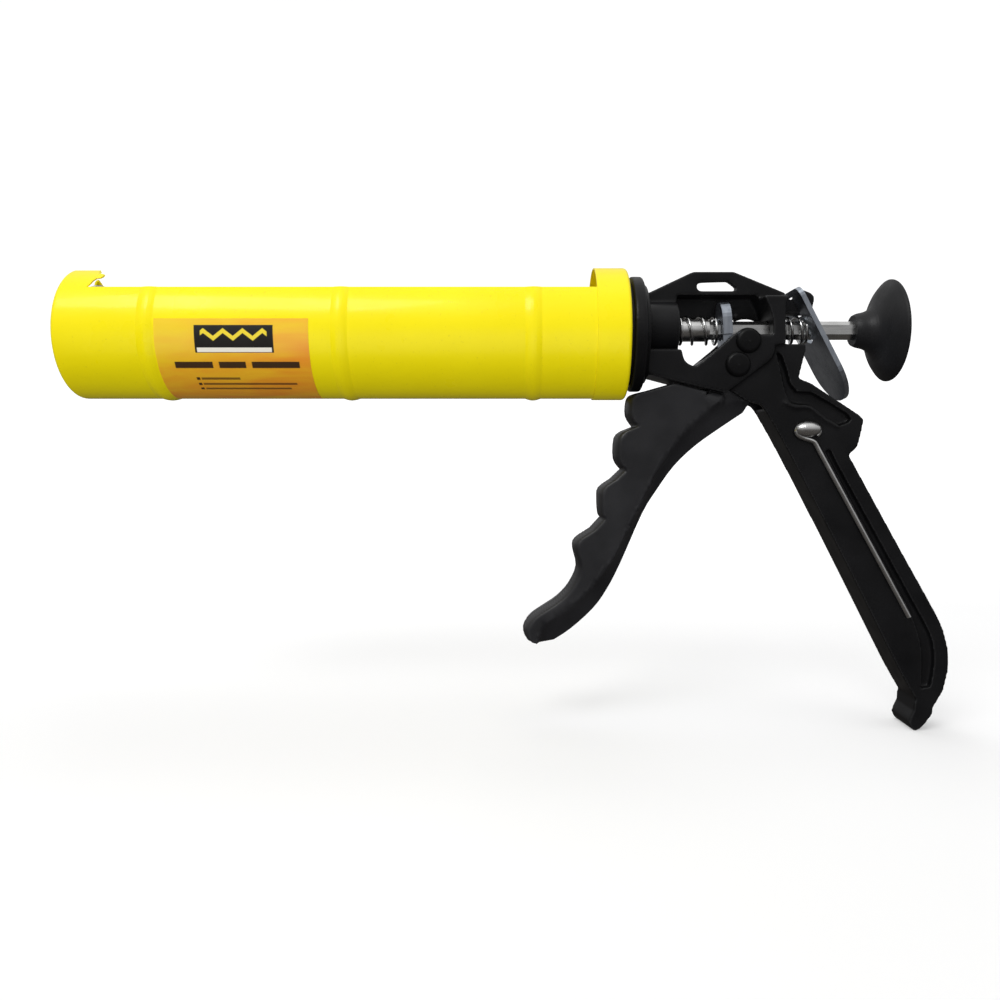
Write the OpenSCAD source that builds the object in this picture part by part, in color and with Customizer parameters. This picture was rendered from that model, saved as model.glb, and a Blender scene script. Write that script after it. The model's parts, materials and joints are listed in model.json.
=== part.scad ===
// Caulking gun with a half-open cradle barrel, a cast frame and a hexagon push rod.
// +X runs back along the barrel, +Z is up, and the origin is on the barrel's axis
// at the front face of the frame's flange.

/* [Barrel] */
// Outer radius of the cradle
barrel_r = 27.9; // [27:0.1:29]
// Thickness of the sheet steel
sheet = 0.8; // [0.6:0.1:1.0]
// Distance from the flange to the front face
barrel_len = 238; // [230:1:250]
// Height of the cradle's cut edges above the axis
cut_height = 16.8; // [14:0.2:18]
// Depth of the front cup
band_len = 12.6; // [11:0.2:14]
// Length of the rear collar
collar_len = 14; // [12:0.5:16]
// Height of the pressed beads
bead_rise = 0.8; // [0.5:0.1:1.2]
// Width of the slot for the nozzle
nozzle_slot_w = 20; // [18:0.5:21]

/* [Rod] */
// Hexagon rod across its flats
rod_flats = 7; // [6:0.5:7]
// Height of the rod above the barrel's axis
rod_z = 1.8; // [1.4:0.1:2.0]
// Radius of the plunger disc
plunger_r = 19.5; // [18:0.5:24]
// Radius of the pull knob's rim
knob_r = 22; // [20:0.5:23]

/* [Frame] */
// Radius of the flange disc
flange_r = 24.9; // [24:0.1:26]
// Width of the cheeks
cheek_w = 22; // [21:0.5:23]
// Width of the grip
grip_w = 18; // [17:0.5:18.5]
// Width of the gap that the trigger's tongue turns in
tongue_gap = 12.8; // [12.6:0.1:13]

/* [Trigger] */
// Width of the finger lever
trigger_w = 19; // [18:0.5:20]
// Width of the tongue and of the narrow back edge
tongue_w = 12; // [11:0.5:12]
// Radius of the pivot pin
pin_r = 2.5; // [2.4:0.1:2.6]

/* [Springs and plates] */
// Thickness of the drive plate
drive_plate_t = 4; // [3.5:0.5:4]
// Thickness of the release plate
release_plate_t = 2; // [1.6:0.2:2]
// Lean of the release plate from upright
release_lean = 27; // [26:0.5:28]
// Thickness of the springs' wire
spring_wire = 1.2; // [1:0.1:1.2]
// Thickness of the piercing wire
seal_wire_d = 2; // [1.8:0.1:2]

/* [Hidden] */
$fn = 96;

yellow = [0.93, 0.86, 0.05];
black = [0.12, 0.12, 0.13];
steel = [0.78, 0.79, 0.8];

// Barrel
collar_gap = 1.7;
collar_r = barrel_r + 0.6;
collar_back = -collar_gap;
collar_front = collar_back - collar_len;
collar_bend = 1.6;
band_back = -barrel_len + band_len;
bead_places = [-199.5, -120.8, -41.7];
bead_half = 3.4;
front_bend = 2;
spigot_r = 9.5;
play = 0.15;
nut_back = collar_back - sheet - play;
nut_len = 5;
washer_t = 1.2;
slot_floor = -4;

// Rod, with its corners up and down
rod_r = rod_flats / 2 / cos(30);
rod_bore_r = rod_r + 0.08;
plunger_front = -232.4;
plunger_t = 1.2;
rod_front = plunger_front + plunger_t;
knob_front = 97.7;
knob_rim = 113.2;
rod_back = 108;
stud_r = 3;
stud_len = 7;

// Frame, in the plane of the barrel's axis: [x, z]
hub_back = 20.9;
wall_back = 65.5;
fin_w = 4;
hub_r = 10.9;
lower_top = -7.5;
pivot = [45.1, -14];
upper_boss = [49.6, -3.9];
boss_r = 5.4;
slot_low = 18.8;
slot_high = 23.2;
slot_front = 29.6;
slot_back = 46.5;
window_top = 17.2;
shelf_top = 18.6;
far_low = 8.1;
far_hole = [53.6, -1.4];
far_hole_r = 9.7;
cavity_w = 16;

rivet_at = [75, -41.4];
rivet_shank_r = 1.4;
wire_eye = [4.9, 3];
wire_hole = rivet_at - [0, 0.9];
wire_y = -(grip_w / 2 + seal_wire_d / 2 + 0.35);
wire_bend = [77.9, -47.1];
wire_end = [117.9, -121.2];

hook_at = [71.3, 15.2];
spring_r = 6.3;
plate_half = 7.2;
sleeve_r = 4.8;

// Points along an arc about [c], from angle a to angle b
function arc(c, r, a, b, n = 8) =
  [for (i = [0:n]) c + r * [cos(a + (b - a) * i / n), sin(a + (b - a) * i / n)]];

// A smooth curve through the points p, n steps between neighbours
function along(p, i) = p[max(0, min(len(p) - 1, i))];
function between(a, b, c, d, t) =
  0.5 * (2 * b + (c - a) * t + (2 * a - 5 * b + 4 * c - d) * t * t
    + (3 * b - a - 3 * c + d) * t * t * t);
function smooth(p, n = 4) = [
  for (i = [0:len(p) - 2], k = [0:n - 1])
    between(along(p, i - 1), p[i], p[i + 1], along(p, i + 2), k / n),
  p[len(p) - 1]
];

// A side view outline [x, z] with width w across Y
module slab(w) {
  rotate([90, 0, 0]) linear_extrude(w, center = true) children();
}

// A profile [x, r] turned about the barrel's axis, raised by z
module turned(profile, z = 0) {
  translate([0, 0, z]) rotate([0, 90, 0]) rotate([0, 0, 180])
    rotate_extrude() polygon([for (p = profile) [p[1], p[0]]]);
}

// A straight round bar along X
module bar_x(x0, x1, r, z = 0) {
  translate([x0, 0, z]) rotate([0, 90, 0]) cylinder(h = x1 - x0, r = r);
}

// A straight round bar along Y at [x, z]
module bar_y(at, y0, y1, r) {
  translate([at[0], y0, at[1]]) rotate([-90, 0, 0]) cylinder(h = y1 - y0, r = r);
}

// A coil along X, from x0 to x1, with its turns about the rod, and its last turn slanted
module coil(x0, x1, r, wire_r, turns, slant = 0) {
  steps = 22;
  sides = 8;
  end_turns = 0.9;
  total = turns + 2 * end_turns;
  count = ceil(total * steps);
  place = function(t) t < end_turns ? t * 2.1 * wire_r
    : t > total - end_turns ? x1 - x0 - 2 * wire_r - (total - t) * 2.1 * wire_r
    : end_turns * 2.1 * wire_r + (t - end_turns) / turns
      * (x1 - x0 - 2 * wire_r - 2 * end_turns * 2.1 * wire_r);
  points = [
    for (i = [0:count], k = [0:sides - 1])
      let (t = i / count * total, a = 360 * t, b = 360 * (k + 0.5) / sides,
        reach = r + wire_r * cos(b), lean = slant * place(t) / (x1 - x0 - 2 * wire_r))
      [x0 + wire_r + place(t) + wire_r * sin(b) - lean * reach * sin(a), reach * cos(a),
       rod_z + reach * sin(a)]
  ];
  faces = [
    [for (k = [0:sides - 1]) k],
    for (i = [0:count - 1], k = [0:sides - 1])
      let (a = i * sides, n = (k + 1) % sides)
      [a + k, a + sides + k, a + sides + n, a + n],
    [for (k = [sides - 1:-1:0]) count * sides + k]
  ];
  polyhedron(points, faces);
}

// The cradle: a rolled sheet open at the top, with three pressed beads
module barrel() {
  bead = function(x, rise) [for (a = [-90:30:90]) [x + bead_half * a / 90, rise * cos(a)]];
  outer = [for (x = bead_places) each [for (p = bead(x, bead_rise)) [p[0], barrel_r + p[1]]]];
  inner = [for (p = outer) [p[0], p[1] - sheet]];
  front = band_back;
  back = collar_back - sheet - collar_bend;
  color(yellow) difference() {
    turned(concat([[front, barrel_r]], outer, [[back, barrel_r], [back, barrel_r - sheet]],
      [for (i = [len(inner) - 1:-1:0]) inner[i]], [[front, barrel_r - sheet]]));
    translate([front - 1, -40, cut_height]) cube([barrel_len, 80, 40]);
  }
}

// The front cup, with a slot for the nozzle and a short hook on the piercing wire's side
module front_cap() {
  face = -barrel_len;
  band_in = barrel_r - sheet;
  hook_back = band_back + 4.2;
  tip_r = 1.3;
  tip = [hook_back - tip_r, cut_height + 5.5];
  edge = concat([[band_back, -40], [band_back, cut_height]],
    smooth([[band_back + 0.2, cut_height + 0.3], [band_back + 0.9, cut_height + 1.5],
      [band_back + 1.3, cut_height + 3], [band_back + 2.2, tip[1] - tip_r]], 3),
    arc(tip, tip_r, -90, 90, 6), [[band_back + 1.4, tip[1] + tip_r + 0.3], [band_back, tip[1] + 3.5]]);
  color(yellow) difference() {
    turned(concat(
      [[face, 0]], arc([face + front_bend, barrel_r - front_bend], front_bend, 180, 90),
      [[hook_back, barrel_r], [hook_back, band_in]],
      arc([face + front_bend, barrel_r - front_bend], front_bend - sheet, 90, 180),
      [[face + sheet, 0]]));
    // nozzle slot, open upwards
    translate([face - 1, -nozzle_slot_w / 2, slot_floor]) cube([30, nozzle_slot_w, 40]);
    translate([face - 1, 0, slot_floor]) rotate([0, 90, 0]) cylinder(h = 4, r = nozzle_slot_w / 2);
    // behind the band only the hook stays
    translate([0, -20, 0]) slab(40)
      polygon(concat(edge, [[band_back, 40], [hook_back + 1, 40], [hook_back + 1, -40]]));
    translate([band_back, -1, -40]) cube([10, 41, 80]);
    // the other side is cut lower
    translate([face + front_bend, 1, cut_height + 6.7]) cube([barrel_len, 40, 10]);
  }
}

// The rear cup, which the frame's threaded spigot passes through
module rear_collar() {
  bend = collar_bend;
  hole_r = spigot_r + 0.08;
  color(yellow) turned(concat(
    [[collar_back - sheet, hole_r], [collar_back - sheet, barrel_r - bend + 0.2]],
    [[collar_back - bend, barrel_r], [collar_front, barrel_r], [collar_front, collar_r]],
    arc([collar_back - bend, collar_r - bend], bend, 90, 0), [[collar_back, hole_r]]));
}

// The printed label on the cradle's side, from just above the axis round to the bottom
module label() {
  front = bead_places[0] + bead_half + 0.6;
  back = bead_places[1] - bead_half - 8.8;
  color([0.97, 0.6, 0.15]) translate([front, 0, 0]) rotate([0, 90, 0]) rotate([0, 0, -96])
    rotate_extrude(angle = 90) translate([barrel_r, 0]) square([0.15, back - front]);
}

module spacer_ring() {
  front = -collar_gap + play;
  color(black) turned([[front, spigot_r], [front, 22], [0, 22], [0, spigot_r]]);
}

module barrel_washer() {
  color(steel) turned([[nut_back - washer_t, spigot_r + 0.2], [nut_back - washer_t, 16],
    [nut_back, 16], [nut_back, spigot_r + 0.2]]);
}

module barrel_nut() {
  back = nut_back - washer_t;
  color(steel) difference() {
    translate([back - nut_len, 0, 0]) rotate([0, 90, 0]) cylinder(h = nut_len, r = 14.5, $fn = 6);
    bar_x(back - nut_len - 1, back + 1, spigot_r);
  }
}

// Outline of the thin web that carries the hanging slot and joins the hub to the cheeks
fin_outline = [[4, 16.1], [10.1, 18.8], [26.8, 26.7], [28.3, 27.2], [45.7, 27.2], [67.8, 18.1],
  [67.8, 12], [wall_back - 0.5, 9.2], [60, lower_top], [4, lower_top - 1]];

// Outline of the cheek and of the strut below the window
cheek_low = concat([[wall_back, -5]],
  smooth([[61.2, -5.6], [59.6, -10.9], [53.5, -15.9], [41.8, -24.6]], 3),
  [[39.7, -26], [18.9, -21.1], [4, -17.2], [4, lower_top]]);
cheek_back = [[66.6, 15.4], [wall_back, 11]];
cheek_outline = concat([[24, lower_top], [24, 15.5]], cheek_back, cheek_low);
far_outline = concat([[19.4, lower_top], [19.4, shelf_top - 2], [21.4, shelf_top], [58, shelf_top]],
  cheek_back, cheek_low);

window_outline = concat(
  [[hub_back, window_top]], smooth([[55.3, window_top], [58.6, 10.9], [60.3, 4.4]], 3),
  [[60.3, -1.4]], arc(upper_boss, boss_r + 0.3, 28, 142, 8),
  smooth([[43, -1.4], [38.4, -5.8], [27.8, -14.4]], 3),
  smooth([[26.2, -14.6], [22.5, -12], [hub_back, -4.5]], 3));

slot_outline = concat(
  arc([slot_front + 2, slot_low + 2], 2, 90, 270, 8),
  arc([slot_back - 1.2, slot_low + 1.2], 1.2, -90, 0, 4),
  [[slot_back, slot_low + 1.8], [slot_back - 3.4, slot_high]]);

// Outline of the rear body and the grip
grip_front = smooth([[54.1, -30.6], [57.5, -33.6], [70.3, -56.7], [94.9, -104.8],
  [113.5, -142.2], [121.4, -156.2]], 3);
grip_foot = concat(smooth([[120.6, -161.6], [118.6, -166.4], [120.6, -169.8], [124, -168.6],
  [128.6, -162.8]], 3), [[129, -160]]);
grip_back = smooth([[133.2, -152.9], [135.6, -141.4], [134.2, -130.6], [130.2, -120.4],
  [115.6, -93.9], [93, -52.4]], 4);
grip_lug = concat(smooth([[93.6, -51.6], [96.8, -48.4], [99.4, -37.4]], 3),
  [[97.6, -35.4], [96.2, -34.5], [77.2, -21.9], [71.6, -19.6], [74.6, -7.6], [74.6, -5],
   [wall_back, -5]]);
body_outline = concat([[60, -5], [52, -16], [42.6, -24.8], [48.5, -28.9]],
  grip_front, grip_foot, grip_back, grip_lug);

// Where the trigger's tongue swings between the cheeks
tongue_space = [[33, 1.8], [31.4, -17], [31.4, -28], [46, -34], [58, -37], [57.4, -32.7],
  [64, -25], [63.2, -9], [58, 1.8]];

// Recesses in the grip's two sides, and the lip along the lower edge of the upper one
grip_pocket = concat([[61.9, -7.7], [64.4, -9.8], [66.5, -16.2], [68, -21.8], [70.8, -25.2]],
  [[77.2, -25.8], [84.9, -30.1], [92.5, -34.9], [94, -37.2], [92.6, -38.6], [88.7, -39.9]],
  smooth([[83.2, -36.5], [78.5, -32.8], [75.5, -31.1], [72.1, -30.9], [68.7, -29.9], [66.5, -27.3],
    [64.8, -21.3], [63.4, -14.5]], 3));
pocket_lip = concat(smooth([[65.6, -29.4], [69.2, -31.2], [75.3, -31.3], [78.3, -33],
  [83, -36.7], [88.3, -39.8]], 3), smooth([[88, -40.9], [82.5, -37.9], [77.7, -34.1], [75, -32.5],
  [69.2, -32.4], [65, -30.3]], 3));
grip_channel = concat([[82.6, -50.6], [101.9, -87]],
  smooth([[119.4, -119.6], [123, -131], [124.2, -142], [123.4, -152]], 3),
  smooth([[127.6, -151.4], [129.2, -141.5], [128.4, -131.5], [124.6, -123]], 3),
  [[110.2, -96.8], [87.4, -55.2], [85, -50]]);
// The web behind the bridge that the release plate hooks on to
horn_outline = [[60, 8.8], [60, 15.4], [66.6, 15.6], [69.6, 18.8], [73.2, 19.7], [78.4, 17.8],
  [79.8, 16.4], [80, 14.6], [79, 10.2], [77.8, 8.8]];

// Places a child in the release plate's own plane, with its origin at the hook
module at_hook() {
  translate([hook_at[0], 0, hook_at[1]]) rotate([0, -release_lean, 0]) children();
}

module frame() {
  side = cheek_w / 2;
  grip_side = grip_w / 2;
  color(black) difference() {
    union() {
      turned([[-12, 0], [-12, spigot_r - 0.6], [-11.4, spigot_r], [0, spigot_r], [0, flange_r - 0.5],
        [0.5, flange_r], [4.6, flange_r], [5.3, flange_r - 1], [5.3, 21.8], [7, 21.2], [7, 0]]);
      slab(fin_w) polygon(fin_outline);
      translate([0, -side / 2, 0]) slab(side) polygon(cheek_outline);
      translate([0, side / 2, 0]) slab(side) polygon(far_outline);
      slab(grip_w) polygon(body_outline);
      bar_x(6, hub_back, hub_r, rod_z + 1.3);
      difference() {
        slab(8) polygon(horn_outline);
        at_hook() translate([-2.1, -10, 0.2]) cube([4.2, 20, 10]);
      }
      slab(grip_w + 1.4) polygon(pocket_lip);
      bar_y(rivet_at, -grip_side, grip_side, 6);
    }
    // window, closed on the far side above the rod but for a round hole behind the rod
    translate([0, -side, 0]) slab(2 * side + cavity_w) polygon(window_outline);
    intersection() {
      slab(60) polygon(window_outline);
      union() {
        translate([0, -40, -30]) cube([far_hole[0] - 5, 80, 30 + far_low]);
        bar_y(far_hole, -40, 40, far_hole_r);
      }
    }
    // steps round the hole, on the far wall's inner face
    for (step = [[12.2, 0.5], [15.4, 0.3]]) intersection() {
      translate([0, side - 3 + step[1] / 2, 0]) slab(step[1]) polygon(window_outline);
      bar_y(far_hole, 0, 20, step[0]);
    }
    slab(60) polygon(slot_outline);
    slab(tongue_gap) polygon(tongue_space);
    // the rod's bore
    bar_x(-13, 80, rod_bore_r, rod_z);
    // pivot and plug holes
    bar_y(pivot, -20, 20, pin_r);
    for (s = [-1, 1]) bar_y(upper_boss, s * side - 3, s * side + 3, 2);
    bar_y(wire_hole, -20, 2, rivet_shank_r);
    // hollows in the neck and in the grip's sides
    for (s = [-1, 1]) translate([0, s * (grip_side + 1), 0]) {
      slab(9) polygon(grip_pocket);
      slab(7) polygon(grip_channel);
    }
  }
}

// Front edge of the trigger, with four finger lobes
trigger_front = concat(
  [[18.4, -21.4]], smooth([[6.1, -24.9], [0.6, -26.4], [-1.2, -29], [-1.4, -35.4], [1.4, -40.1]], 3),
  smooth([[-3.4, -42], [-6.4, -45], [-6.7, -54.1], [-3.8, -58.6]], 3),
  smooth([[-8.2, -62.8], [-13.3, -66.6], [-14, -71], [-13.6, -77.6], [-12.6, -79.4]], 3),
  smooth([[-17.4, -84.6], [-23.6, -88.7], [-24.6, -92.6], [-23, -100.6], [-26.4, -108.6],
    [-31.8, -114.6], [-38, -118.8], [-43.4, -122.6], [-46, -127.1], [-44.6, -131.8],
    [-40.2, -133.6]], 3));
trigger_back = smooth([[-32.7, -132.2], [-25.4, -127.4], [-16, -118.9], [-10, -110.7], [-4, -99.2],
  [5.5, -77.7], [11.5, -67.9], [19.2, -57.2], [28.2, -48.6], [38.5, -41.2], [49, -34.2]], 3);
trigger_ridge = smooth([[-37.5, -125.6], [-22.1, -114.4], [-14.8, -106.4], [-8.4, -98.2],
  [0.5, -80.9], [10.3, -60.8], [17.1, -50.2], [24, -41.6], [33.4, -33.2]], 3);
tongue_top = concat([[52.6, -28.6]], arc(pivot, 8.2, -20, 40, 5),
  arc(pivot + [2.35, 8], 2.5, 0, 180, 8), [pivot + [-0.15, 4.8]], arc(pivot, 8.2, 152, 200, 4),
  [[33.6, -25.4]]);

module trigger() {
  color(black) difference() {
    union() {
      slab(trigger_w) polygon(concat(trigger_front, trigger_ridge, [[39.2, -28.6], [37.8, -26.6]]));
      slab(tongue_w) polygon(concat(trigger_front, trigger_back, tongue_top));
    }
    bar_y(pivot, -20, 20, pin_r + 0.06);
  }
}

// A pin head, domed, on a face at y, looking along s
module head(at, y, s, r, h) {
  translate([at[0], y, at[1]]) rotate([s > 0 ? -90 : 90, 0, 0]) rotate_extrude()
    polygon(concat([[0, 0]], arc([r - h, 0], h, 0, 90, 5), [[0, h * 1.15]]));
}

module trigger_pin() {
  side = cheek_w / 2;
  color(black) union() {
    bar_y(pivot, -side, side, pin_r);
    for (s = [-1, 1]) head(pivot, s * side, s, boss_r, 1.9);
  }
}

module cheek_plugs() {
  side = cheek_w / 2;
  color(black) for (s = [-1, 1]) union() {
    bar_y(upper_boss, min(s * side, s * (side - 2.8)), max(s * side, s * (side - 2.8)), 2);
    head(upper_boss, s * side, s, boss_r, 1.9);
  }
}

module spring_sleeve() {
  color(steel) turned([[hub_back, rod_bore_r], [hub_back, sleeve_r], [34.6, sleeve_r],
    [34.6, rod_bore_r]], rod_z);
}

module drive_spring() {
  color(steel) coil(hub_back + 0.1, 38.9, spring_r - spring_wire / 2 + 0.3, spring_wire / 2, 2.3);
}

// The plate that the trigger pushes: round at the top, narrow between the cheeks below
module drive_plate() {
  low = 10.4;
  neck = 2.2;
  shoulder = 5.2;
  color(steel) difference() {
    translate([41.9, 0, rod_z]) rotate([0, -4, 0]) rotate([0, 90, 0])
      linear_extrude(drive_plate_t, center = true) polygon(concat(
        [[low, -tongue_w / 2 + 0.2], [low, tongue_w / 2 - 0.2], [neck, tongue_w / 2 - 0.2],
         [neck, plate_half]],
        arc([-shoulder, 0], plate_half, 90, 270, 14), [[neck, -plate_half],
         [neck, -tongue_w / 2 + 0.2]]));
    bar_x(30, 55, rod_r + 0.55, rod_z);
  }
}

module release_spring() {
  color(steel) coil(wall_back + 0.1, 75.2, 5.6, spring_wire / 2, 1.9, 0.4);
}

// The thumb plate, in its own plane: length down from its top edge
module release_plate() {
  top = 3.6;
  length = 52.4;
  half = 15;
  corner = 4;
  rod_hole = (hook_at[1] - rod_z) / cos(release_lean);
  color(steel) at_hook() difference() {
    translate([0, 0, top]) rotate([0, 90, 0]) linear_extrude(release_plate_t, center = true)
      polygon(concat(arc([corner, corner - half], corner, 180, 270, 5),
        arc([length - half, 0], half, -90, 90, 20), arc([corner, half - corner], corner, 90, 180, 5)));
    translate([-5, 0, -rod_hole]) rotate([0, 90, 0]) cylinder(h = 10, r = 5.7);
    translate([-5, -4.5, -8.2]) cube([10, 9, 9.2]);
  }
}

module push_rod() {
  color(steel) union() {
    translate([rod_front, 0, rod_z]) rotate([0, 90, 0])
      cylinder(h = rod_back - rod_front, r = rod_r, $fn = 6);
    bar_x(rod_front - stud_len, rod_front, stud_r, rod_z);
  }
}

module knob() {
  rim = knob_rim;
  outer = smooth([[knob_front, 6.6], [99.4, 7.4], [102.6, 8.2], [105.6, 10], [107.4, 12.8],
    [108.6, 15.8], [110.4, 19], [112.4, knob_r - 0.5]], 3);
  color(black) difference() {
    turned(concat([[knob_front, 0]], outer, arc([rim, knob_r - 0.7], 0.8, 100, -20, 5),
      smooth([[112.8, knob_r - 2.2], [111.4, 14], [110.2, 6], [110, 0]], 3)), rod_z);
    translate([knob_front - 1, 0, rod_z]) rotate([0, 90, 0])
      cylinder(h = rod_back - knob_front + 1, r = rod_r, $fn = 6);
  }
}

// The pressed disc that pushes the cartridge's piston
module plunger_plate() {
  lip = 3.4;
  color(steel) difference() {
    turned(concat([[plunger_front, 0], [plunger_front, plunger_r - 2]],
      arc([plunger_front + 2, plunger_r - 2], 2, 180, 90, 4),
      [[plunger_front + lip, plunger_r], [plunger_front + lip, plunger_r - plunger_t]],
      arc([plunger_front + 2, plunger_r - 2], 2 - plunger_t, 90, 180, 4),
      [[plunger_front + plunger_t, 0]]), rod_z);
    bar_x(plunger_front - 1, plunger_front + 3, stud_r, rod_z);
  }
}

module plunger_washer() {
  color(steel) turned([[plunger_front - 1.2, stud_r], [plunger_front - 1.2, 8],
    [plunger_front, 8], [plunger_front, stud_r]], rod_z);
}

module plunger_nut() {
  color(steel) difference() {
    translate([plunger_front - 5.4, 0, rod_z]) rotate([0, 90, 0]) cylinder(h = 4.2, r = 5.6, $fn = 6);
    bar_x(plunger_front - 8, plunger_front, stud_r, rod_z);
  }
}

// A tube of radius r swept along points [x, z] that lie in the plane at y
module tube_at(path, y, r, sides = 10) {
  count = len(path);
  way = [for (i = [0:count - 1])
    let (a = path[max(0, i - 1)], b = path[min(count - 1, i + 1)]) (b - a) / norm(b - a)];
  points = [for (i = [0:count - 1], k = [0:sides - 1])
    let (turn = 360 * (k + 0.5) / sides)
    [path[i][0] - way[i][1] * r * cos(turn), y + r * sin(turn), path[i][1] + way[i][0] * r * cos(turn)]];
  faces = [
    [for (k = [sides - 1:-1:0]) k],
    for (i = [0:count - 2], k = [0:sides - 1])
      let (a = i * sides, n = (k + 1) % sides)
      [a + k, a + n, a + sides + n, a + sides + k],
    [for (k = [0:sides - 1]) (count - 1) * sides + k]
  ];
  polyhedron(points, faces);
}

// The wire that pierces a cartridge's seal, hooked round its rivet in an oval eye
module seal_wire() {
  eye = [for (a = [-40:16:232]) wire_hole + [wire_eye[0] * cos(a), wire_eye[1] * sin(a)]];
  path = concat(eye, smooth([[74.2, -45.6], [76.3, -46.2], wire_bend, [79.2, -49.5]], 2), [wire_end]);
  color(steel) tube_at(path, wire_y, seal_wire_d / 2);
}

// The rivet, with an oval domed head
module wire_rivet() {
  face = wire_y - seal_wire_d / 2 - 0.1;
  half = [5.7, 3.5];
  sunk = 1.2;
  color(steel) union() {
    bar_y(wire_hole, face, 2, rivet_shank_r);
    intersection() {
      translate([rivet_at[0], face + sunk, rivet_at[1]]) rotate([0, 90, 0]) rotate([0, 0, 180])
        rotate_extrude() polygon([for (a = [0:10:180]) [half[1] * sin(a), -half[0] * cos(a)]]);
      translate([rivet_at[0] - 10, face - 10, rivet_at[1] - 10]) cube([20, 10, 20]);
    }
  }
}

barrel();
front_cap();
rear_collar();
label();
spacer_ring();
barrel_washer();
barrel_nut();
frame();
trigger();
trigger_pin();
cheek_plugs();
spring_sleeve();
drive_spring();
drive_plate();
release_spring();
release_plate();
push_rod();
knob();
plunger_plate();
plunger_washer();
plunger_nut();
seal_wire();
wire_rivet();
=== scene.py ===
"""The looks of a caulking gun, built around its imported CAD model. Lengths are in metres."""

import json
import math

import bmesh
import bpy
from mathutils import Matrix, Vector
from mathutils.geometry import delaunay_2d_cdt


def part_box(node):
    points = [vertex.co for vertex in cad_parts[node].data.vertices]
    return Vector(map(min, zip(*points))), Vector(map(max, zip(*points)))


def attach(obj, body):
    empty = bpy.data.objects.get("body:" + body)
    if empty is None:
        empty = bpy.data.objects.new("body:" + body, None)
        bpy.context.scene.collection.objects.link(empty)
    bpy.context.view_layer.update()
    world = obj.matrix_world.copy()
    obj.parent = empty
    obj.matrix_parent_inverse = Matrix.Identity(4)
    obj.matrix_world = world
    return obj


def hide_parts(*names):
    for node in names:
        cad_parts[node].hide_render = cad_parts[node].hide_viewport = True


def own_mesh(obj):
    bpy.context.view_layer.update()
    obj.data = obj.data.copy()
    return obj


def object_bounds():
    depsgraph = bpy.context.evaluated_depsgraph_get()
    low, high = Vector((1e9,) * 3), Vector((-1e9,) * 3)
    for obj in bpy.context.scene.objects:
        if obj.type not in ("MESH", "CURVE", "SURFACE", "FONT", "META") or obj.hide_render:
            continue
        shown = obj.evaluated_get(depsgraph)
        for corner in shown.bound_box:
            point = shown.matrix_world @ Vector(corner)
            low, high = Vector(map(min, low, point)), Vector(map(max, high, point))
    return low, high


MM = 0.001

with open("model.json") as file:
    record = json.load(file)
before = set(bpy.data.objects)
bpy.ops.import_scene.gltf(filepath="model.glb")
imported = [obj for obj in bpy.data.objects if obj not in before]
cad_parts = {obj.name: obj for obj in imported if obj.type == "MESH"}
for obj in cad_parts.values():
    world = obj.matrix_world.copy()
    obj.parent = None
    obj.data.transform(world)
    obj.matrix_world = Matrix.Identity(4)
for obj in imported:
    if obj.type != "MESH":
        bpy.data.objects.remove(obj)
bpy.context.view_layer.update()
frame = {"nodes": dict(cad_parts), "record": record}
nodes = frame["nodes"]
joints = {j["name"]: j for j in frame["record"]["behaviour"]["joints"]}
scene = bpy.context.scene


# ---------------------------------------------------------------- camera, stage and light

# the photo's camera, looking along +Y; lens and sensor are in millimetres
CAMERA_AT = (-0.0478, -0.3755, -0.0505)
LENS = 30.96
SENSOR = 36.0
SHIFT = (-0.0188, -0.0495)
CLIP = (0.01, 50)

# the floor: an inner disc, a flat ring, a bend and a wall
FLOOR_INNER = 0.3
FLOOR_FLAT = 1.6
FLOOR_BEND = 1.2
WALL_HEIGHT = 3.0
FLOOR_SIDES = 96
BEND_STEP = 6  # degrees

# all lights point at one place; those that aren't mirrored are not seen in glossy surfaces
LIT_POINT = (-0.03, 0, -0.03)
LIGHTS = (
    # name, place, size, watts, mirrored
    ("key", (-0.55, -0.85, 0.95), (0.7, 0.5), 7, True),
    ("top", (0.05, 0.05, 1.1), (1.1, 0.6), 4, False),
    ("fill", (-0.15, -1.1, -0.4), (1.2, 0.8), 9.5, False),
    ("back_fill", (-0.1, 1.1, 0.5), (1.2, 0.8), 5, False),
)

WORLD_STRENGTH = 0.8
# height of a direction, from straight down (0) to straight up (1), and the light from there
WORLD_STOPS = (
    (0.0, (0.065, 0.06, 0.055)),
    (0.42, (0.10, 0.095, 0.09)),
    (0.54, (0.36, 0.36, 0.365)),
    (1.0, (1.0, 1.0, 1.0)),
)


def make_camera():
    data = bpy.data.cameras.new("camera")
    data.lens = LENS
    data.sensor_width = SENSOR
    data.shift_x, data.shift_y = SHIFT
    data.clip_start, data.clip_end = CLIP
    camera = bpy.data.objects.new("camera", data)
    camera.location = CAMERA_AT
    camera.rotation_euler = (math.radians(90), 0, 0)
    scene.collection.objects.link(camera)
    scene.camera = camera


def area_light(name, at, towards, size, watts, mirrored):
    data = bpy.data.lights.new(name, "AREA")
    data.shape = "RECTANGLE"
    data.size, data.size_y = size
    data.energy = watts
    light = bpy.data.objects.new(name, data)
    light.location = at
    way = Vector(towards) - Vector(at)
    light.rotation_euler = way.to_track_quat("-Z", "Y").to_euler()
    light.visible_glossy = mirrored
    scene.collection.objects.link(light)


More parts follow.
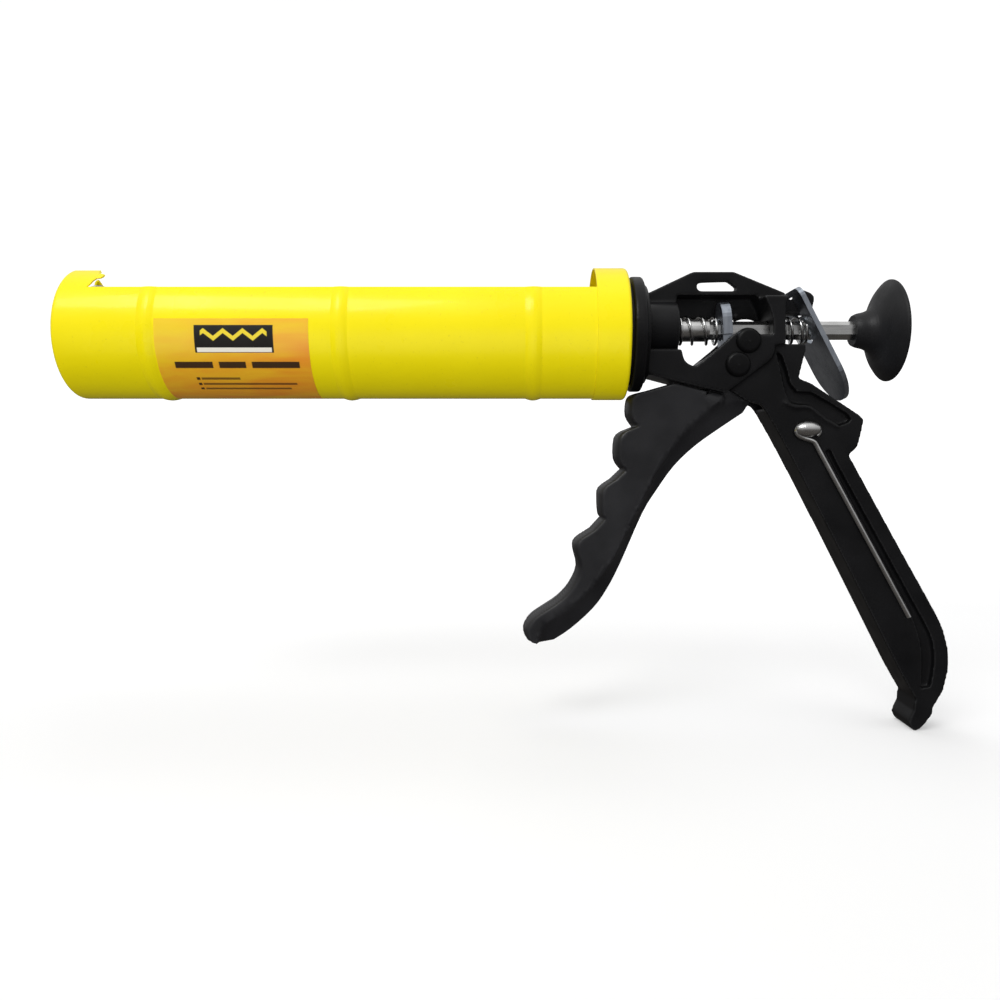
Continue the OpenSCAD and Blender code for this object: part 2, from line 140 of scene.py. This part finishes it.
def make_world():
    """Light from all round, bright above and dim below."""
    world = bpy.data.worlds.new("world")
    world.use_nodes = True
    tree = world.node_tree
    way = tree.nodes.new("ShaderNodeTexCoord").outputs["Generated"]
    split = tree.nodes.new("ShaderNodeSeparateXYZ")
    tree.links.new(way, split.inputs[0])
    height = tree.nodes.new("ShaderNodeMapRange")
    height.inputs["From Min"].default_value = -1
    tree.links.new(split.outputs["Z"], height.inputs["Value"])
    ramp = tree.nodes.new("ShaderNodeValToRGB")
    tree.links.new(height.outputs["Result"], ramp.inputs["Fac"])
    stops = ramp.color_ramp.elements
    stops[0].position, stops[1].position = WORLD_STOPS[0][0], WORLD_STOPS[-1][0]
    for place, _ in WORLD_STOPS[1:-1]:
        stops.new(place)
    for stop, (_, colour) in zip(stops, WORLD_STOPS):
        stop.color = (*colour, 1)
    tree.links.new(ramp.outputs["Color"], tree.nodes["Background"].inputs["Color"])
    tree.nodes["Background"].inputs["Strength"].default_value = WORLD_STRENGTH
    scene.world = world


def make_lights():
    for name, at, size, watts, mirrored in LIGHTS:
        area_light(name, at, LIT_POINT, size, watts, mirrored)


def make_floor():
    """A floor that rises without a seam into a wall all round."""
    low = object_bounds()[0][2]
    flat, bend, around = FLOOR_FLAT, FLOOR_BEND, FLOOR_SIDES
    turn = [math.radians(a) for a in range(BEND_STEP, 91, BEND_STEP)]
    profile = [(FLOOR_INNER, low), (flat, low)]
    profile += [(flat + bend * math.sin(a), low + bend * (1 - math.cos(a))) for a in turn]
    profile.append((flat + bend, low + WALL_HEIGHT))
    points = [(0, 0, low)]
    for r, z in profile:
        points += [(r * math.cos(math.tau * k / around), r * math.sin(math.tau * k / around), z)
                   for k in range(around)]
    faces = [(0, 1 + k, 1 + (k + 1) % around) for k in range(around)]
    for i in range(len(profile) - 1):
        for k in range(around):
            a, b = 1 + i * around + k, 1 + i * around + (k + 1) % around
            faces.append((a, a + around, b + around, b))
    floor = new_piece("floor", points, faces, floor_material())
    # it takes the object's shadow, but throws no light back on to it
    floor.visible_diffuse = False
    floor.visible_glossy = False
    floor.visible_shadow = False


# ---------------------------------------------------------------- materials


class Nodes:
    """A material's node tree, with short ways to add and join nodes."""

    def __init__(self, name):
        self.material = bpy.data.materials.new(name)
        self.material.use_nodes = True
        self.tree = self.material.node_tree
        self.shader = self.tree.nodes["Principled BSDF"]
        self.place = self.add("ShaderNodeTexCoord").outputs["Object"]

    def add(self, kind, **inputs):
        node = self.tree.nodes.new(kind)
        for key, value in inputs.items():
            self.put(node.inputs[key], value)
        return node

    def put(self, socket, value):
        if isinstance(value, bpy.types.NodeSocket):
            self.tree.links.new(value, socket)
        else:
            socket.default_value = value

    def set(self, **values):
        for key, value in values.items():
            self.put(self.shader.inputs[key.replace("_", " ")], value)

    def math(self, operation, a, b=0.0, c=0.0, clamp=False):
        node = self.tree.nodes.new("ShaderNodeMath")
        node.operation = operation
        node.use_clamp = clamp
        for socket, value in zip(node.inputs, (a, b, c)):
            self.put(socket, value)
        return node.outputs[0]

    def noise(self, scale, detail=3.0, stretch=(1, 1, 1)):
        place = self.place
        if stretch != (1, 1, 1):
            mapping = self.add("ShaderNodeMapping", Vector=place)
            mapping.inputs["Scale"].default_value = stretch
            place = mapping.outputs[0]
        node = self.add("ShaderNodeTexNoise", Vector=place, Scale=scale, Detail=detail,
                        Roughness=0.5)
        return node.outputs["Fac"]

    def ramp(self, value, low, high, out_low=0.0, out_high=1.0):
        node = self.tree.nodes.new("ShaderNodeMapRange")
        for key, number in zip(("Value", "From Min", "From Max", "To Min", "To Max"),
                               (value, low, high, out_low, out_high)):
            self.put(node.inputs[key], number)
        return node.outputs["Result"]

    def mix(self, share, a, b):
        node = self.tree.nodes.new("ShaderNodeMix")
        node.data_type = "RGBA"
        self.put(node.inputs["Factor"], share)
        colours = [s for s in node.inputs if s.type == "RGBA"]
        self.put(colours[0], a if isinstance(a, bpy.types.NodeSocket) else (*a, 1))
        self.put(colours[1], b if isinstance(b, bpy.types.NodeSocket) else (*b, 1))
        return [s for s in node.outputs if s.type == "RGBA"][0]

    def bump(self, height, strength, distance):
        node = self.add("ShaderNodeBump", Height=height, Strength=strength, Distance=distance)
        self.put(self.shader.inputs["Normal"], node.outputs[0])

    def edges(self, low, high):
        """1 along convex edges, 0 on flat stretches."""
        pointiness = self.add("ShaderNodeNewGeometry").outputs["Pointiness"]
        return self.ramp(pointiness, low, high)


def floor_material():
    """Matt and pale, with a little glow of its own, more of it far out, so that floor and wall
    meet in one even white."""
    n = Nodes("floor")
    n.set(Base_Color=n.mix(n.noise(3), (0.55, 0.55, 0.55), (0.60, 0.60, 0.60)), Roughness=0.9)
    split = n.add("ShaderNodeSeparateXYZ", Vector=n.place)
    squares = [n.math("MULTIPLY", split.outputs[k], split.outputs[k]) for k in "XY"]
    reach = n.math("SQRT", n.math("ADD", *squares))
    n.set(Emission_Color=(1, 1, 1, 1), Specular_IOR_Level=0.0)
    n.set(Emission_Strength=n.ramp(reach, 0.4, 1.9, 0.36, 0.82))
    return n.material


def yellow_enamel():
    """Glossy enamel with faint clouding, fine specks and orange peel."""
    n = Nodes("yellow_enamel")
    cloud = n.noise(26, 2)
    base = n.mix(n.ramp(cloud, 0.3, 0.7), (0.89, 0.745, 0.003), (0.93, 0.79, 0.005))
    speck = n.ramp(n.noise(900, 2), 0.66, 0.74)
    base = n.mix(n.math("MULTIPLY", speck, 0.25), base, (0.55, 0.44, 0.01))
    n.set(Base_Color=base, Roughness=n.ramp(n.noise(60, 3), 0.3, 0.7, 0.26, 0.36))
    n.set(Coat_Weight=0.12, Coat_Roughness=0.08, Specular_IOR_Level=0.2)
    peel = n.noise(420, 2)
    n.bump(n.math("ADD", peel, n.math("MULTIPLY", n.noise(90, 1), 2.0)), 0.12, 0.0004)
    return n.material


def black_casting(name="black_casting", dark=0.003, light=0.006, gloss=0.22, edge_wear_and_highlight=0.3):
    """Satin coat on a casting, with a fine grain and paler edges, partly wear and partly a painted
    highlight.
    """
    n = Nodes(name)
    cloud = n.ramp(n.noise(45, 4), 0.35, 0.65)
    base = n.mix(cloud, (dark, dark, dark * 1.12), (light, light, light * 1.1))
    # convex edges are painted paler: partly wear, partly a painted highlight
    base = n.mix(n.math("MULTIPLY", n.edges(0.52, 0.62), edge_wear_and_highlight), base, (0.10, 0.10, 0.104))
    n.set(Base_Color=base, Roughness=n.ramp(n.noise(120, 4), 0.3, 0.7, 0.3, 0.42))
    n.set(Specular_IOR_Level=gloss)
    n.bump(n.math("ADD", n.noise(1600, 3), n.noise(300, 2)), 0.16, 0.0002)
    return n.material


def black_plastic():
    """Moulded plastic with a fine spark-eroded grain."""
    n = Nodes("black_plastic")
    base = n.mix(n.ramp(n.noise(60, 3), 0.35, 0.65), (0.005, 0.005, 0.006), (0.009, 0.009, 0.010))
    n.set(Base_Color=base, Roughness=n.ramp(n.noise(200, 4), 0.3, 0.7, 0.42, 0.55))
    n.set(Specular_IOR_Level=0.35)
    n.bump(n.noise(2400, 2), 0.15, 0.00015)
    return n.material


def zinc_steel(name="zinc_steel", along=(0.06, 1, 1), rough=(0.2, 0.36),
               dark=(0.62, 0.62, 0.61), light=(0.88, 0.88, 0.87)):
    """Plated steel with fine streaks along the axis whose scale in along is small."""
    n = Nodes(name)
    streaks = n.noise(900, 4, stretch=along)
    cloud = n.noise(120, 4)
    shade = n.math("ADD", n.math("MULTIPLY", streaks, 0.5), n.math("MULTIPLY", cloud, 0.5))
    base = n.mix(n.ramp(shade, 0.38, 0.62), dark, light)
    n.set(Base_Color=base, Metallic=1.0)
    dull = n.math("ADD", n.math("MULTIPLY", streaks, 0.6), n.math("MULTIPLY", cloud, 0.4))
    n.set(Roughness=n.ramp(dull, 0.3, 0.7, *rough))
    n.bump(streaks, 0.12, 0.0001)
    return n.material


def wire_steel():
    """Bright plate on drawn wire, even but for a faint clouding."""
    n = Nodes("wire_steel")
    cloud = n.ramp(n.noise(220, 3), 0.35, 0.65)
    n.set(Base_Color=n.mix(cloud, (0.72, 0.72, 0.71), (0.86, 0.86, 0.85)), Metallic=1.0)
    n.set(Roughness=n.ramp(n.noise(500, 2), 0.3, 0.7, 0.24, 0.34))
    return n.material


# measures on the label: millimetres along it, degrees round the barrel
LABEL_BLOCK = 32  # width of the dark block
LABEL_LINES = ((-47.5, 16), (-54, 39), (-60.5, 36))  # where each thin line is, and its length


def label_print():
    """A printed label: a flame-like ground with a plain block, bars and lines as its print."""
    n = Nodes("label_print")
    low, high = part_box("label")
    split = n.add("ShaderNodeSeparateXYZ", Vector=n.place)
    x, y, z = (split.outputs[k] for k in "XYZ")
    turn = n.math("ARCTAN2", z, n.math("MULTIPLY", y, -1.0))
    degrees = n.math("MULTIPLY", turn, 180 / math.pi)
    place_mm = n.math("MULTIPLY", n.math("SUBTRACT", x, low[0]), 1 / MM)

    def band(value, start, end, blur):
        rise = n.ramp(value, start - blur, start + blur)
        fall = n.ramp(value, end - blur, end + blur, 1.0, 0.0)
        return n.math("MULTIPLY", rise, fall, clamp=True)

    def block(x0, x1, a0, a1, blur=0.12):
        return n.math("MULTIPLY", band(place_mm, x0, x1, blur), band(degrees, a0, a1, blur * 2))

    mapping = n.add("ShaderNodeMapping", Vector=n.place)
    mapping.inputs["Scale"].default_value = (0.35, 1.0, 1.4)
    mapping.inputs["Rotation"].default_value = (0, 0.5, 0)
    flame = n.add("ShaderNodeTexNoise", Vector=mapping.outputs[0], Scale=70, Detail=5,
                  Distortion=1.4)
    fire = n.ramp(flame.outputs["Fac"], 0.36, 0.68)
    ground = n.mix(fire, (0.84, 0.30, 0.02), (0.88, 0.48, 0.02))
    # yellower towards the top and the front end
    height = n.math("ADD", n.math("MULTIPLY", degrees, 0.012), n.math("MULTIPLY", place_mm, -0.006))
    glow = n.ramp(n.math("ADD", n.noise(60, 3, stretch=(0.3, 1, 1.6)), height), -0.12, 0.4)
    ground = n.mix(n.math("MULTIPLY", glow, 0.9), ground, (0.87, 0.62, 0.012))
    width = (high[0] - low[0]) / MM
    # the dark block with a light zigzag and a pale strip
    black, pale, lemon = (0.012, 0.011, 0.01), (0.85, 0.82, 0.72), (0.85, 0.66, 0.02)
    left = (width - LABEL_BLOCK) / 2 + 1
    right = left + LABEL_BLOCK
    ground = n.mix(block(left, right, -22.5, 0.5), ground, black)
    wave = n.math("PINGPONG", place_mm, 4.0)
    ridge = n.math("SUBTRACT", degrees, n.math("MULTIPLY", wave, 1.6))
    zigzag = n.math("MULTIPLY", block(left + 2.5, right - 2.5, -16.5, -1),
                    band(ridge, -12.5, -8.5, 0.3))
    ground = n.mix(zigzag, ground, lemon)
    ground = n.mix(block(left + 0.8, right - 0.8, -22.0, -18.2), ground, pale)
    # a row of dark bars, and three thin ones with dots
    for start, end in ((7, 22.5), (25, 36), (38.5, width - 4.5)):
        ground = n.mix(block(start, end, -36.5, -30.5), ground, (0.05, 0.025, 0.01))
    for a, length in LABEL_LINES:
        dot = block(left - 2, left - 0.6, a - 1.5, a + 1.5)
        ground = n.mix(dot, ground, (0.06, 0.03, 0.01))
        line = n.math("MULTIPLY", block(left, left + length, a - 1.3, a + 1.3), 0.8)
        ground = n.mix(line, ground, (0.08, 0.04, 0.01))
    n.set(Base_Color=ground, Roughness=n.ramp(n.noise(200), 0.3, 0.7, 0.3, 0.42))
    n.set(Coat_Weight=0.3, Coat_Roughness=0.2)
    n.bump(n.noise(600, 2), 0.08, 0.0002)
    return n.material


# ---------------------------------------------------------------- mesh helpers

SAME_POINT = 1e-6
BEVEL_SEGMENTS = 3
BEVEL_ANGLE = 35  # degrees, from where on an edge is rounded

KEPT_CORNER = 28  # degrees, from where on a corner of an outline stays

# the casting's skin is remeshed finely and smoothed a few times
CASTING_VOXEL = 0.6 * MM
CASTING_ROUNDS = 3


def new_piece(name, points, faces, material):
    mesh = bpy.data.meshes.new(name)
    mesh.from_pydata([tuple(p) for p in points], [], faces)
    mesh.update()
    piece = bpy.data.objects.new(name, mesh)
    scene.collection.objects.link(piece)
    mesh.materials.append(material)
    mesh.shade_smooth()
    return piece


def finish_mesh(piece):
    """Merges doubled points and turns the faces outwards."""
    bm = bmesh.new()
    bm.from_mesh(piece.data)
    bmesh.ops.remove_doubles(bm, verts=bm.verts, dist=SAME_POINT)
    bmesh.ops.recalc_face_normals(bm, faces=bm.faces)
    bm.to_mesh(piece.data)
    bm.free()


def paint(node, material):
    data = nodes[node].data
    if not data.materials:
        data.materials.append(material)
    for slot in nodes[node].material_slots:
        slot.material = material


def round_edges(node, width, crisp):
    bevel = nodes[node].modifiers.new("bevel", "BEVEL")
    bevel.width = width
    bevel.segments = BEVEL_SEGMENTS
    bevel.limit_method = "ANGLE"
    bevel.angle_limit = math.radians(BEVEL_ANGLE)
    bevel.harden_normals = crisp
    bevel.use_clamp_overlap = True


def soften(node):
    """Rounds every edge of a casting a little, as a mould does."""
    remesh = nodes[node].modifiers.new("skin", "REMESH")
    remesh.mode = "VOXEL"
    remesh.voxel_size = CASTING_VOXEL
    remesh.use_smooth_shade = True
    smooth = nodes[node].modifiers.new("rounding", "SMOOTH")
    smooth.factor = 0.5
    smooth.iterations = CASTING_ROUNDS


def slice_loops(node, y):
    """The closed outlines, as (x, z) points, where a node's mesh crosses the plane at y; the
    one with the most points comes first."""
    bm = bmesh.new()
    bm.from_mesh(nodes[node].data)
    bmesh.ops.remove_doubles(bm, verts=bm.verts, dist=SAME_POINT)
    geometry = bm.verts[:] + bm.edges[:] + bm.faces[:]
    cut = bmesh.ops.bisect_plane(bm, geom=geometry, dist=1e-7,
                                 plane_co=(0, y, 0), plane_no=(0, 1, 0))
    # a dict and not a set, because a set of edges has another order in each run
    edges = dict.fromkeys(e for e in cut["geom_cut"] if isinstance(e, bmesh.types.BMEdge))
    loops = []
    while edges:
        edge, _ = edges.popitem()
        loop = [edge.verts[0], edge.verts[1]]
        while True:
            onward = [e for e in loop[-1].link_edges if e in edges]
            if not onward:
                break
            del edges[onward[0]]
            loop.append(onward[0].other_vert(loop[-1]))
        if loop[0] is loop[-1]:
            loop.pop()
        loops.append([Vector((v.co.x, v.co.z)) for v in loop])
    bm.free()
    return sorted(loops, key=len, reverse=True)


def resample(loop, step):
    """The loop with points about a step apart, its sharp corners kept."""
    points = []
    count = len(loop)
    for i, p in enumerate(loop):
        q = loop[(i + 1) % count]
        parts = max(1, round((q - p).length / step))
        points += [p.lerp(q, k / parts) for k in range(parts)]
    thin = [points[0]]
    for i in range(1, len(points)):
        p, q = points[i], points[(i + 1) % len(points)]
        came, goes = p - thin[-1], q - p
        turn = came.angle(goes, 0) if came.length and goes.length else 0
        if came.length > step * 0.7 or turn > math.radians(KEPT_CORNER):
            thin.append(p)
    return thin


def distance_to(loop, p):
    best = 1.0
    for i, a in enumerate(loop):
        b = loop[(i + 1) % len(loop)]
        way = b - a
        t = max(0.0, min(1.0, (p - a).dot(way) / max(way.length_squared, 1e-18)))
        best = min(best, (a + way * t - p).length)
    return best


def inside(loop, p):
    odd = False
    for i, a in enumerate(loop):
        b = loop[i - 1]
        if (a.y > p.y) != (b.y > p.y) and p.x < (b.x - a.x) * (p.y - a.y) / (b.y - a.y) + a.x:
            odd = not odd
    return odd


# ---------------------------------------------------------------- pieces

# the coils of a spring: cuts per turn, sides of the wire, turns that are closed at each end,
# and how far apart those lie, in thicknesses of the wire
COIL_STEPS = 40
COIL_SIDES = 14
CLOSED_TURNS = 0.95
CLOSED_LEAD = 1.04


def helix(name, x0, x1, middle_z, radius, wire, turns, material):
    """A compression spring along X with closed ends."""
    steps, sides, dead = COIL_STEPS, COIL_SIDES, CLOSED_TURNS
    total = turns + 2 * dead
    count = int(total * steps)
    span = x1 - x0 - wire
    lead = CLOSED_LEAD * wire

    def along(t):
        if t < dead:
            return lead * t
        if t > total - dead:
            return span - lead * (total - t)
        return lead * dead + (span - 2 * lead * dead) * (t - dead) / turns

    points, faces = [], []
    for i in range(count + 1):
        t = i / steps
        a = math.tau * t
        for k in range(sides):
            b = math.tau * k / sides
            reach = radius + wire / 2 * math.cos(b)
            points.append((x0 + wire / 2 + along(t) + wire / 2 * math.sin(b),
                           reach * math.cos(a), middle_z + reach * math.sin(a)))
    for i in range(count):
        for k in range(sides):
            a, b = i * sides + k, i * sides + (k + 1) % sides
            faces.append((a, a + sides, b + sides, b))
    ends = range(sides), reversed(range(count * sides, (count + 1) * sides))
    faces += [tuple(end) for end in ends]
    piece = new_piece(name, points, faces, material)
    finish_mesh(piece)
    return piece


# the trigger: its outlines' step, how far inside its side the wide outline is taken, half the
# thickness of the tongue that runs into the frame and of the thinned strip behind the ridge,
# and how near the pivot or how high it is all tongue
OUTLINE_STEP = 1.3 * MM
WIDE_INSET = 1.2 * MM
TONGUE_HALF = 6.0 * MM
STRIP_HALF = 3.6 * MM
TONGUE_REACH = 16 * MM
TONGUE_ABOVE = -27.0 * MM

# how it is rounded: the crown behind the finger lobes, the edge of the full width, the top of
# the ridge and the tongue's edge, and the least half thickness
CROWN = 2.6 * MM
EDGE_RADIUS = 1.2 * MM
RIDGE_RADIUS = 1.0 * MM
RIDGE_SOFTNESS = 0.3
TONGUE_RADIUS = 0.6 * MM
TONGUE_SOFTNESS = 0.8
RIDGE_DROP = 0.3 * MM
LEAST_HALF = 0.4 * MM

# where its mesh has points: rings inside the outline, closer ones behind the lobes, and a grid
# deeper in; the rings are in millimetres
RINGS = (0.15, 0.4, 0.8, 1.3, 2.1, 3.2, 4.4)
LOBE_RINGS = (0.02, 0.08, 0.2, 0.4, 0.7, 1.1, 1.6, 2.1, 2.6, 3.3, 4.2)
GRID_STEP = 1.7 * MM
GRID_DEPTH = 4.9 * MM
FACES_FRONT = 0.35

# how near or far such points may lie: off their ring, off the wide outline, from the ridge and
# from the bore, and how far the ridge is from the whole outline at least
RING_TOLERANCE = 0.06 * MM
LOBE_TOLERANCE = 0.01 * MM
WIDE_MARGIN = 0.2 * MM
RIDGE_CLEAR = 0.8 * MM
BORE_MARGIN = 0.25 * MM
RIDGE_APART = 0.6 * MM


def nearest(points, p):
    return min((q - p).length for q in points)


def behind_front(loop, p):
    """How far p lies behind the loop's front, straight along X."""
    best = 1.0
    for i, a in enumerate(loop):
        b = loop[i - 1]
        if (a.y > p.y) != (b.y > p.y):
            x = (b.x - a.x) * (p.y - a.y) / (b.y - a.y) + a.x
            if x <= p.x + 1e-7:
                best = min(best, p.x - x)
    return best


def rounded(d, r):
    """How much a round edge of radius r takes off at a distance d from its rim."""
    return r - math.sqrt(max(0.0, r * r - (r - min(d, r)) ** 2))


class Trigger:
    """The trigger's outlines, and how thick it is at each place inside them."""

    def __init__(self):
        self.low, self.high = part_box("trigger")
        self.half = self.high[1]
        self.whole, self.hole, *_ = slice_loops("trigger", 0.0)
        self.outline = resample(self.whole, OUTLINE_STEP)
        self.wide = slice_loops("trigger", self.half - WIDE_INSET)[0]
        # of the wide outline, the stretch away from the whole one is the ridge down the back
        self.ridge = [p for p in resample(self.wide, OUTLINE_STEP)
                      if distance_to(self.whole, p) > RIDGE_APART]
        x, _, z = joints["trigger_squeeze"]["pos_m"]
        self.pivot = Vector((x, z))
        self.bore = (self.hole[0] - self.pivot).length

    def half_width(self, p):
        on_rim = nearest(self.outline, p) < 1e-7
        d = 0.0 if on_rim else distance_to(self.whole, p)
        if inside(self.wide, p) or distance_to(self.wide, p) < WIDE_MARGIN:
            soft = rounded(nearest(self.ridge, p), RIDGE_RADIUS) * RIDGE_SOFTNESS
            share = max(0.0, min(1.0, behind_front(self.whole, p) / CROWN))
            full = self.half * math.sqrt(1 - (1 - share) ** 2)
            return max(LEAST_HALF, full - rounded(d, EDGE_RADIUS) - soft)
        if (p - self.pivot).length < TONGUE_REACH or p.y > TONGUE_ABOVE:
            return TONGUE_HALF - rounded(d, TONGUE_RADIUS) * TONGUE_SOFTNESS
        back = nearest(self.ridge, p)
        share = back / max(back + d, 1e-9)
        top = self.half - RIDGE_DROP
        return top - (top - STRIP_HALF) * share ** 0.6

    def ring_points(self):
        """Points at set distances inside the outline."""
        found = []
        for i, p in enumerate(self.outline):
            way = (self.outline[(i + 1) % len(self.outline)] - self.outline[i - 1]).normalized()
            for sign in (-1, 1):
                normal = Vector((-way.y, way.x)) * sign
                if not inside(self.whole, p + normal * 0.1 * MM):
                    continue
                if normal.x > FACES_FRONT and inside(self.wide, p + normal * 1.5 * MM):
                    found += self.lobe_points(p)
                    continue
                for d in RINGS:
                    q = p + normal * d * MM
                    off = abs(distance_to(self.whole, q) - d * MM)
                    if inside(self.whole, q) and off < RING_TOLERANCE:
                        found.append(q)
        return found

    def lobe_points(self, p):
        """Points straight behind a place on a lobe."""
        places = [(p + Vector((d * MM, 0)), d * MM) for d in LOBE_RINGS]
        return [q for q, d in places if inside(self.whole, q)
                and abs(behind_front(self.whole, q) - d) < LOBE_TOLERANCE]

    def grid_points(self):
        """Points on a staggered grid, away from the outline and the ridge."""
        found = []
        for i in range(int((self.high[0] - self.low[0]) / GRID_STEP) + 1):
            for k in range(int((self.high[2] - self.low[2]) / GRID_STEP) + 1):
                p = Vector((self.low[0] + (i + 0.5 * (k % 2)) * GRID_STEP,
                            self.low[2] + k * GRID_STEP))
                if (inside(self.whole, p) and distance_to(self.whole, p) > GRID_DEPTH
                        and nearest(self.ridge, p) > RIDGE_CLEAR):
                    found.append(p)
        return found

    def triangles(self):
        """A flat mesh of the outline without the hole, as points and faces."""
        points = self.outline + self.hole
        edges = []
        for start, loop in ((0, self.outline), (len(self.outline), self.hole)):
            edges += [(start + i, start + (i + 1) % len(loop)) for i in range(len(loop))]
        inner = self.ring_points() + self.ridge + self.grid_points()
        points += [p for p in inner if (p - self.pivot).length > self.bore + BORE_MARGIN]
        flat, _, faces, *_ = delaunay_2d_cdt(points, edges, [], 0, 1e-7)
        solid = []
        for f in faces:
            centre = sum((flat[i] for i in f), Vector((0, 0))) / len(f)
            if inside(self.whole, centre) and (centre - self.pivot).length > self.bore * 0.999:
                solid.append(f)
        return flat, solid


def make_trigger(material):
    """The trigger, swelling from its outline to its full width, with a bevelled back."""
    trigger = Trigger()
    flat, solid = trigger.triangles()
    widths = [trigger.half_width(p) for p in flat]
    count = len(flat)
    body = [(p.x, side * w, p.y) for side in (-1, 1) for p, w in zip(flat, widths)]
    skin = [tuple(f) for f in solid] + [tuple(i + count for i in reversed(f)) for f in solid]
    # the rim is where a side of a triangle has no neighbour
    sides = dict.fromkeys((f[i], f[(i + 1) % len(f)]) for f in solid for i in range(len(f)))
    skin += [(b, a, a + count, b + count) for a, b in sides if (b, a) not in sides]
    piece = new_piece("trigger_lever", body, skin, material)
    bm = bmesh.new()
    bm.from_mesh(piece.data)
    loose = [v for v in bm.verts if not v.link_faces]
    bmesh.ops.delete(bm, geom=loose, context="VERTS")
    bmesh.ops.recalc_face_normals(bm, faces=bm.faces)
    bm.to_mesh(piece.data)
    bm.free()
    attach(piece, "trigger")
    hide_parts("trigger")


# ---------------------------------------------------------------- the object

# width of the rounded edge, whether flat faces keep a flat shading, and the nodes
BEVELS = (
    (0.25 * MM, False, ("barrel", "front_cap", "rear_collar")),
    (0.35 * MM, True, ("drive_plate", "release_plate")),
    (0.3 * MM, True, ("push_rod",)),
    (0.5 * MM, False, ("barrel_nut",)),
    (0.4 * MM, False, ("plunger_nut",)),
)

# spring, the joint that squeezes it (not used here), its open turns, and the share of its length
# that stays when squeezed (not used here)
SPRING_WIRE = 1.2 * MM
SPRINGS = (
    ("drive_spring", "drive_plate_slide", 2.3, 0.76),
    ("release_spring", "release_tilt", 1.9, 0.86),
)

make_camera()
make_world()
make_lights()
make_floor()

trigger_black = black_casting("trigger_casting", 0.010, 0.017, 0.32)
pad_black = black_casting("pad_casting", 0.002, 0.004, 0.18, edge_wear_and_highlight=0.0)
plate_zinc = zinc_steel("plate_zinc", along=(1, 1, 0.08), rough=(0.24, 0.4),
                        dark=(0.38, 0.42, 0.48), light=(0.54, 0.58, 0.64))
bright = zinc_steel("bright_steel", along=(1, 1, 1), rough=(0.12, 0.24),
                    dark=(0.66, 0.66, 0.65), light=(0.8, 0.8, 0.79))

for finish, painted in (
    (yellow_enamel(), ("barrel", "front_cap", "rear_collar")),
    (label_print(), ("label",)),
    (black_casting(), ("frame",)),
    (trigger_black, ("trigger",)),
    (pad_black, ("trigger_pin", "cheek_plugs")),
    (black_plastic(), ("knob", "spacer_ring")),
    (zinc_steel(), ("spring_sleeve", "push_rod")),
    (wire_steel(), ("seal_wire", "wire_rivet", "barrel_washer", "barrel_nut",
                    "plunger_plate", "plunger_washer", "plunger_nut")),
    (plate_zinc, ("drive_plate", "release_plate")),
    (bright, ("drive_spring", "release_spring")),
):
    for name in painted:
        paint(name, finish)

for width, crisp, edged in BEVELS:
    for name in edged:
        round_edges(name, width, crisp)
soften("frame")

make_trigger(trigger_black)

# springs, wound round the rod
rod_low, rod_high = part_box("push_rod")
rod_z = (rod_low[2] + rod_high[2]) / 2
for node, joint, turns, keep in SPRINGS:
    low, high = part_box(node)
    radius = (high[2] - low[2]) / 2 - SPRING_WIRE / 2
    coil = helix(node + "_coil", low[0], high[0], rod_z, radius, SPRING_WIRE, turns, bright)
    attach(coil, "frame")
    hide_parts(node)
    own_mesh(coil)

scene.view_settings.view_transform = "Standard"
